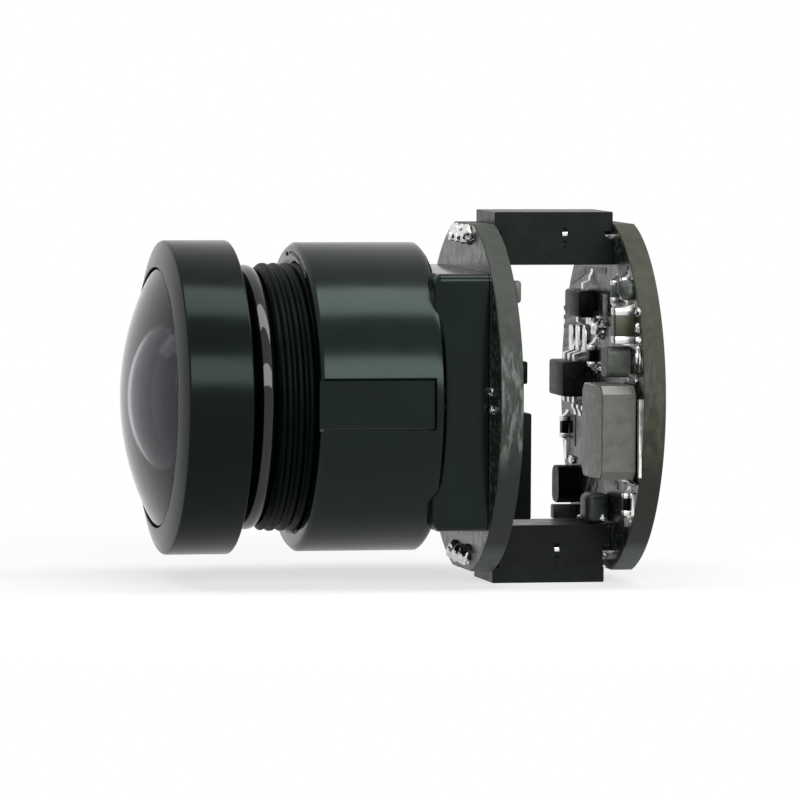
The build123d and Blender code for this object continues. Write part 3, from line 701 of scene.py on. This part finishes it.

# Main board, front: power inductor, its long edges chamfered, standing just off its pads; a black slab under it is
# painted shade for the gap
inductor = sits(bmesh.new(), MAIN_FRONT, -1, (-5.2, -1.3), (3.8, 4.15, 1.58), 0.0, 0, 0.12)
corner_edges = [edge for edge in inductor.edges if abs(edge.verts[0].co.x - edge.verts[1].co.x) > 1]
bmesh.ops.bevel(inductor, geom=corner_edges, offset=0.36, segments=1, affect="EDGES", profile=0.5)
face_edges = [edge for edge in inductor.edges if abs(edge.verts[0].co.x - edge.verts[1].co.x) < 0.1]
bmesh.ops.bevel(inductor, geom=face_edges, offset=0.05, segments=1, affect="EDGES", profile=0.5)
# Black slab in the gap between the inductor and the board: painted shade standing in for the shadow in that gap.
sits(inductor, MAIN_FRONT, -1, (-5.2, -1.3), (3.0, 3.3, 0.14), 0.02, 1)
piece("pressed_power_inductor", inductor, [ferrite, epoxy], "inductor_body", "power_inductor")


def gull_wing(mesh, centre, size, direction, offset, finish=0):
    """Bent lead of a moulded part on the main board's front, as in the CAD."""
    reach, thick, width = 0.6, 0.15, 0.4
    body = centre[1] + direction * size[1] / 2
    tip = body + direction * reach
    foot = tip - direction * reach / 2
    shoulder = body + direction * reach / 4
    top = MAIN_FRONT - size[2] / 2
    outline = [
        (MAIN_FRONT, tip), (MAIN_FRONT, foot), (top + thick, shoulder), (top + thick, body - direction * 0.05),
        (top, body - direction * 0.05), (top, shoulder + direction * thick),
        (MAIN_FRONT - thick, foot + direction * thick), (MAIN_FRONT - thick, tip),
    ]
    near = centre[0] + offset - width / 2
    prism(mesh, [(x, near, z) for x, z in outline], (0, width, 0), finish)
    ramp_up(mesh, MAIN_FRONT, -1, (centre[0] + offset, tip + direction * 0.35), (centre[0] + offset, tip), 0.12, 0.46, finish)
    return mesh


side_leads = (-0.95, 0.0, 0.95)
leaded = (
    ("regulator", (2.9, 1.6, 1.15), (4.15, 0.55), side_leads, side_leads),
    ("transistor", (2.9, 1.2, 0.95), (1.95, 4.05), side_leads[1:2], side_leads[::2]),
)
for name, size, centre, upper, lower in leaded:
    body_size = (size[0], size[1], size[2] - 0.1)
    body = sits(bmesh.new(), MAIN_FRONT, -1, centre, body_size, 0.12, 0, 0.1)
    finish = moulding_face if name == "regulator" else epoxy
    piece(name + "_moulding", body, [finish], "chip_black", name + "_body")
    leads = bmesh.new()
    for direction, offsets in ((1, upper), (-1, lower)):
        for offset in offsets:
            gull_wing(leads, centre, size, direction, offset)
    if name == "regulator":
        for y, z_low, z_high in ((2.95, 1.75, 2.85), (4.30, 1.70, 2.95), (5.60, 1.70, 2.90)):
            sits(leads, MAIN_FRONT, -1, (y, (z_low + z_high) / 2), (0.62, z_high - z_low, 0.16), 0.07)
    else:
        blob(leads, (MAIN_FRONT - 0.1, 0.35, 2.95), (0.5, 1.3, 0.9), 0.4)
        blob(leads, (MAIN_FRONT - 0.12, -0.35, 3.25), (0.4, 0.5, 0.4), 0.3)
    piece(name + "_bent_leads", leads, [tin], "tinned_metal", name + "_leads")

# Small two-ended parts of the main board's front
signal = sits(bmesh.new(), MAIN_FRONT, -1, (5.0, -4.35), (1.4, 1.7, 0.95), 0.0)
signal_edges = [edge for edge in signal.edges if abs(edge.verts[0].co.x - edge.verts[1].co.x) > 0.5]
bmesh.ops.bevel(signal, geom=signal_edges, offset=0.42, segments=4, affect="EDGES", profile=0.5)
bmesh.ops.bevel(signal, geom=list(signal.edges), offset=0.05, segments=1, affect="EDGES", profile=0.5)
piece("drum_signal_inductor", signal, [epoxy], "chip_black", "signal_inductor")
bulk = sits(bmesh.new(), MAIN_FRONT, -1, (5.0, -5.62), (0.6, 0.65, 1.1), 0.06)
piece("moulded_bulk_capacitor", bulk, [slate], "chip_black", "bulk_capacitor")
rim_part = chip(bmesh.new(), MAIN_FRONT, -1, (-5.75, 3.4), (0.85, 1.6, 0.9), "Z", cap=0.34, pad=0.25)
piece("fired_rim_capacitor", rim_part, [brown, tin], "capacitor_brown", "rim_capacitor")
filter_part = sits(bmesh.new(), MAIN_FRONT, -1, (-4.95, 1.75), (1.25, 1.35, 1.1), 0.0)
filter_edges = [edge for edge in filter_part.edges if abs(edge.verts[0].co.x - edge.verts[1].co.x) > 0.5]
bmesh.ops.bevel(filter_part, geom=filter_edges, offset=0.3, segments=4, affect="EDGES", profile=0.5)
bmesh.ops.bevel(filter_part, geom=list(filter_part.edges), offset=0.04, segments=1, affect="EDGES", profile=0.5)
piece("smooth_filter_capacitor", filter_part, [grey], "capacitor_grey", "filter_capacitor")
diode = sits(bmesh.new(), MAIN_FRONT, -1, (-1.1, -5.0), (1.6, 1.35, 1.1), 0.0)
bmesh.ops.bevel(diode, geom=list(diode.edges), offset=0.34, segments=4, affect="EDGES", profile=0.5)
piece("rounded_diode", diode, [slate], "capacitor_grey", "diode")

RESISTORS = ((6.6, -1.85, 0), (1.3, 1.7, 0), (0.6, -2.2, 0), (-3.1, 4.8, 2), (-4.9, 5.0, 2), (-5.5, -4.55, 0))
resistors = bmesh.new()
for y, z, body in RESISTORS:
    chip(resistors, MAIN_FRONT, -1, (y, z), (0.5, 1.0, 0.35), body=body)
blob(resistors, (MAIN_FRONT - 0.1, -5.2, 4.95), (0.95, 1.5, 0.95), 0.15, 2)
piece("soldered_resistors", resistors, [epoxy, tin, pale_mask], "chip_black", "chip_resistors")
SENSOR_CHIPS = ((5.2, 3.4), (5.2, 1.2), (4.4, -4.6))
sensor_chips = sits(bmesh.new(), SENSOR_REAR, 1, (-5.6, 4.9), (0.5, 1.0, 0.35), 0.14, 0)
sits(sensor_chips, SENSOR_REAR, 1, (-6.9, 1.4), (0.5, 1.0, 0.35), 0.08, 2)
for centre in SENSOR_CHIPS:
    chip(sensor_chips, SENSOR_REAR, 1, centre, (0.5, 1.0, 0.35))
piece("soldered_sensor_chips", sensor_chips, [grey, tin, epoxy], "capacitor_grey", "sensor_board_capacitors")
REAR_CHIPS = ((-4.6, 3.6), (-4.6, 2.4), (5.7, 3.4), (5.7, 2.2), (-2.2, -5.2), (2.2, -5.2))
rear_chips = bmesh.new()
for centre in REAR_CHIPS:
    chip(rear_chips, MAIN_REAR, 1, centre, (0.5, 1.0, 0.35), cap=0.22, pad=0.08)
piece("soldered_rear_chips", rear_chips, [brown, tin], "capacitor_brown", "rear_capacitors")

# Solder on the main board's front: (y, z), then size across, up and off the board
MAIN_SPOTS = (
    (0.82, 3.33, 1.5, 0.70, 0.40), (-0.63, 3.22, 1.0, 0.32, 0.30), (-2.58, 4.20, 1.2, 0.30, 0.24),
    (-7.10, 2.00, 0.55, 1.20, 0.30), (-6.05, 1.02, 1.6, 0.50, 0.30), (0.56, 1.22, 0.45, 0.22, 0.24),
    (-0.40, 1.18, 0.45, 0.22, 0.24), (-1.55, 1.20, 0.45, 0.22, 0.24), (5.51, -3.29, 0.8, 0.40, 0.26),
    (-5.60, -3.52, 2.2, 0.34, 0.34), (-1.48, -5.80, 0.8, 0.26, 0.30), (-7.00, 4.02, 0.5, 0.36, 0.26),
    (-6.95, 3.35, 0.4, 0.42, 0.26), (-7.10, 2.82, 0.4, 0.30, 0.26), (-4.95, 2.62, 1.0, 0.20, 0.40),
)
spots = bmesh.new()
for y, z, across, up, off in MAIN_SPOTS:
    blob(spots, (MAIN_FRONT - off / 4, y, z), (off, across, up), 0.45)
for x, y, z, size in ((17.68, -0.32, -5.50, 0.34), (18.35, -1.82, -5.42, 0.42)):
    blob(spots, (x, y, z), (size, size, size * 0.8), 0.35)
ribbon(spots, MAIN_FRONT, -1, [(-0.12, 4.41), (-0.12, 3.2)], 0.7, 0.10)
ribbon(spots, MAIN_FRONT, -1, [(6.63, -1.77), (6.60, -3.24)], 0.5, 0.12)
ribbon(spots, MAIN_FRONT, -1, [(-7.40, 0.15), (-7.44, -3.2)], 0.28, 0.12)
ribbon(spots, MAIN_FRONT, -1, [(-6.2, -4.1), (-6.1, -4.9), (-5.0, -5.4)], 0.36, 0.12)
piece("main_board_solder", spots, [tin], "tinned_metal")

# Traces and pads under the mask of the main board's front
traces = bmesh.new()
for step in range(5):
    rise = 0.42 * step
    ribbon(traces, MAIN_FRONT, -1, [(7.4, 1.9 + rise), (4.6, 2.35 + rise), (2.4, 2.5 + rise)], 0.2, 0.03)
prism(traces, [(MAIN_FRONT, -2.9, 6.0), (MAIN_FRONT, -4.9, 6.0), (MAIN_FRONT, -3.5, 4.96)], (-0.04, 0, 0))
for path in (
    [(5.9, 4.9), (3.2, 5.5), (-0.6, 5.6)], [(0.6, 0.4), (0.6, -1.4), (1.6, -2.6)],
    [(6.1, -0.4), (5.2, -1.2), (5.2, -2.6)], [(3.0, -4.6), (1.4, -3.4), (-1.6, -3.6), (-3.2, -3.9)],
    [(3.2, -5.3), (0.8, -4.1)], [(6.9, 0.9), (6.7, -0.4)],
):
    ribbon(traces, MAIN_FRONT, -1, path, 0.3, 0.03)
piece("main_board_traces", traces, [pale_mask], "board_laminate")

# Solder and flux on the sensor board's front, round the pins and by the base
FRONT_SPOTS = (
    (-0.39, 7.45, 2.1, 0.30, 0.36), (-1.02, 7.09, 2.4, 0.26, 0.40), (1.48, 7.2, 1.2, 0.34, 0.30),
    (1.59, -7.07, 1.2, 0.40, 0.34), (-0.30, -7.24, 1.5, 0.50, 0.34), (-5.95, 0.49, 0.5, 0.36, 0.20),
    (-6.22, -0.28, 0.5, 0.42, 0.20),
)
front_spots = bmesh.new()
for y, z, across, up, off in FRONT_SPOTS:
    blob(front_spots, (SENSOR_FRONT - off / 4, y, z), (off, across, up), 0.5)
piece("sensor_board_solder", front_spots, [tin], "tinned_metal")

# Pin windows in the near side of the header strips, and tin between the strip and the rear board
windows = bmesh.new()
for x, z in ((16.47, 7.31), (16.20, -6.82)):
    block(windows, (x - 0.12, -1.915, z - 0.09), (x + 0.12, -1.80, z + 0.10), 0.03)
    for drop, size in ((0.23, 0.26), (-0.33, 0.2), (-0.56, 0.14)):
        blob(windows, (x, -1.89, z + drop), (size, 0.05, size * 0.8), 0.3, 1)
for x, z in ((18.12, -7.04), (18.45, -7.05), (18.40, -7.59), (18.42, 7.18), (18.5, 6.9)):
    blob(windows, (x, -1.75, z), (0.2, 0.2, 0.16), 0.4)
piece("header_pin_windows", windows, [tin, epoxy], "tinned_metal")

# Camera: a long lens, a little above and 12 degrees round to the front of the module
AZIMUTH = math.radians(12)
ELEVATION = math.radians(3.3)
ROLL = math.radians(0.33)
DISTANCE = 331.5 * MM
TARGET = Vector((9.38, 0.0, -0.18)) * MM
LENS = 333.0
look = Vector((math.sin(AZIMUTH) * math.cos(ELEVATION), math.cos(AZIMUTH) * math.cos(ELEVATION), -math.sin(ELEVATION)))
right = look.cross(Vector((0, 0, 1))).normalized()
up = right.cross(look)
rolled_right = right * math.cos(ROLL) + up * math.sin(ROLL)
rolled_up = up * math.cos(ROLL) - right * math.sin(ROLL)
camera = bpy.data.objects.new("camera", bpy.data.cameras.new("camera"))
scene.collection.objects.link(camera)
camera.data.lens = LENS
camera.data.clip_start = 0.01
camera.data.clip_end = 10.0
camera.matrix_world = Matrix.Translation(TARGET - look * DISTANCE) @ Matrix(
    (
        (rolled_right.x, rolled_up.x, -look.x, 0),
        (rolled_right.y, rolled_up.y, -look.y, 0),
        (rolled_right.z, rolled_up.z, -look.z, 0),
        (0, 0, 0, 1),
    )
)
scene.camera = camera


# Studio: two strip lights on the camera's side, a pale backdrop behind

def strip_light(name, angle, width, radiance):
    """Long area lamp parallel to the lens axis; angle is its height above the camera's horizon, in degrees."""
    tilt = math.radians(angle)
    lamp = bpy.data.objects.new(name, bpy.data.lights.new(name, "AREA"))
    scene.collection.objects.link(lamp)
    lamp.data.shape = "RECTANGLE"
    lamp.data.size = STRIP_LENGTH
    lamp.data.size_y = width
    lamp.data.energy = radiance * math.pi * STRIP_LENGTH * width
    lamp.location = TARGET + Vector((STRIP_SHIFT, -math.cos(tilt) * STRIP_REACH, math.sin(tilt) * STRIP_REACH))
    lamp.rotation_euler = (math.radians(90) - tilt, 0.0, 0.0)
    lamp.visible_camera = False
    return lamp


STRIP_LENGTH = 0.8
STRIP_REACH = 0.4
STRIP_SHIFT = 0.12
strip_light("overhead_strip", 78.0, 0.175, 5.0)
strip_light("front_strip", 22.5, 0.135, 5.4)


# World: soft light all round; the camera, metal and glass see it white
AMBIENT = 0.14
world = bpy.data.worlds.new("studio")
scene.world = world
world.use_nodes = True
sky = world.node_tree
sky.nodes.clear()


def clear_rays(tree):
    """1 for rays from the camera, from gloss and through glass, and 0 for diffuse light."""
    rays = add(tree, "ShaderNodeLightPath").outputs
    bounced = add(tree, "ShaderNodeMath", {0: rays["Is Glossy Ray"], 1: rays["Is Transmission Ray"]}, operation="MAXIMUM")
    seen = add(tree, "ShaderNodeMath", {0: rays["Is Camera Ray"], 1: bounced.outputs["Value"]}, operation="MAXIMUM")
    return seen.outputs["Value"]


soft = add(sky, "ShaderNodeBackground", {"Color": (0.96, 1.0, 0.98, 1), "Strength": AMBIENT})
white = add(sky, "ShaderNodeBackground", {"Color": (1, 1, 1, 1), "Strength": 1.0})
shown = add(sky, "ShaderNodeMixShader", {0: clear_rays(sky), 1: soft.outputs[0], 2: white.outputs[0]})
add(sky, "ShaderNodeOutputWorld", {"Surface": shown.outputs[0]})

# Floor: pale, white to the camera away from the module, and it keeps the module's shadow
FLOOR_SIDE = 3.0
FLOOR_BOUNCE = 0.30
floor_mesh = bpy.data.meshes.new("floor")
half = FLOOR_SIDE / 2
floor_z = cad_box[0].z
floor_corners = [(-half, -half, floor_z), (half, -half, floor_z), (half, half, floor_z), (-half, half, floor_z)]
floor_mesh.from_pydata(floor_corners, [], [(0, 1, 2, 3)])
floor = bpy.data.objects.new("floor", floor_mesh)
scene.collection.objects.link(floor)
paper = bpy.data.materials.new("pale_paper")
paper.use_nodes = True
tree = paper.node_tree
tree.nodes.clear()
place = millimetres(tree)
fibre = cloud(tree, place, 3.0)
pale = ramp(tree, fibre, [(0.3, (0.86, 0.87, 0.86)), (0.7, (0.88, 0.88, 0.88))])
diffuse_rays = add(tree, "ShaderNodeLightPath").outputs["Is Diffuse Ray"]
dimmed = fade(tree, diffuse_rays, 0.0, 1.0, 1.0, FLOOR_BOUNCE)
shade = add(tree, "ShaderNodeVectorMath", {0: pale, "Scale": dimmed}, operation="SCALE").outputs["Vector"]
diffuse = add(tree, "ShaderNodeBsdfDiffuse", {"Color": shade})
middle = (-TARGET.x / MM, -TARGET.y / MM, 0.0)
centred = add(tree, "ShaderNodeVectorMath", {0: place, 1: middle}, operation="ADD").outputs["Vector"]
flat = add(tree, "ShaderNodeVectorMath", {0: centred, 1: (1.0, 1.0, 0.0)}, operation="MULTIPLY").outputs["Vector"]
away = add(tree, "ShaderNodeVectorMath", {0: flat}, operation="LENGTH").outputs["Value"]
share = fade(tree, away, 14.0, 46.0, 0.68, 1.0)
glow = add(tree, "ShaderNodeEmission", {"Color": (1, 1, 1, 1), "Strength": 1.0})
clear_share = times(tree, clear_rays(tree), share)
shown = add(tree, "ShaderNodeMixShader", {0: clear_share, 1: diffuse.outputs[0], 2: glow.outputs[0]})
add(tree, "ShaderNodeOutputMaterial", {"Surface": shown.outputs[0]})
floor_mesh.materials.append(paper)
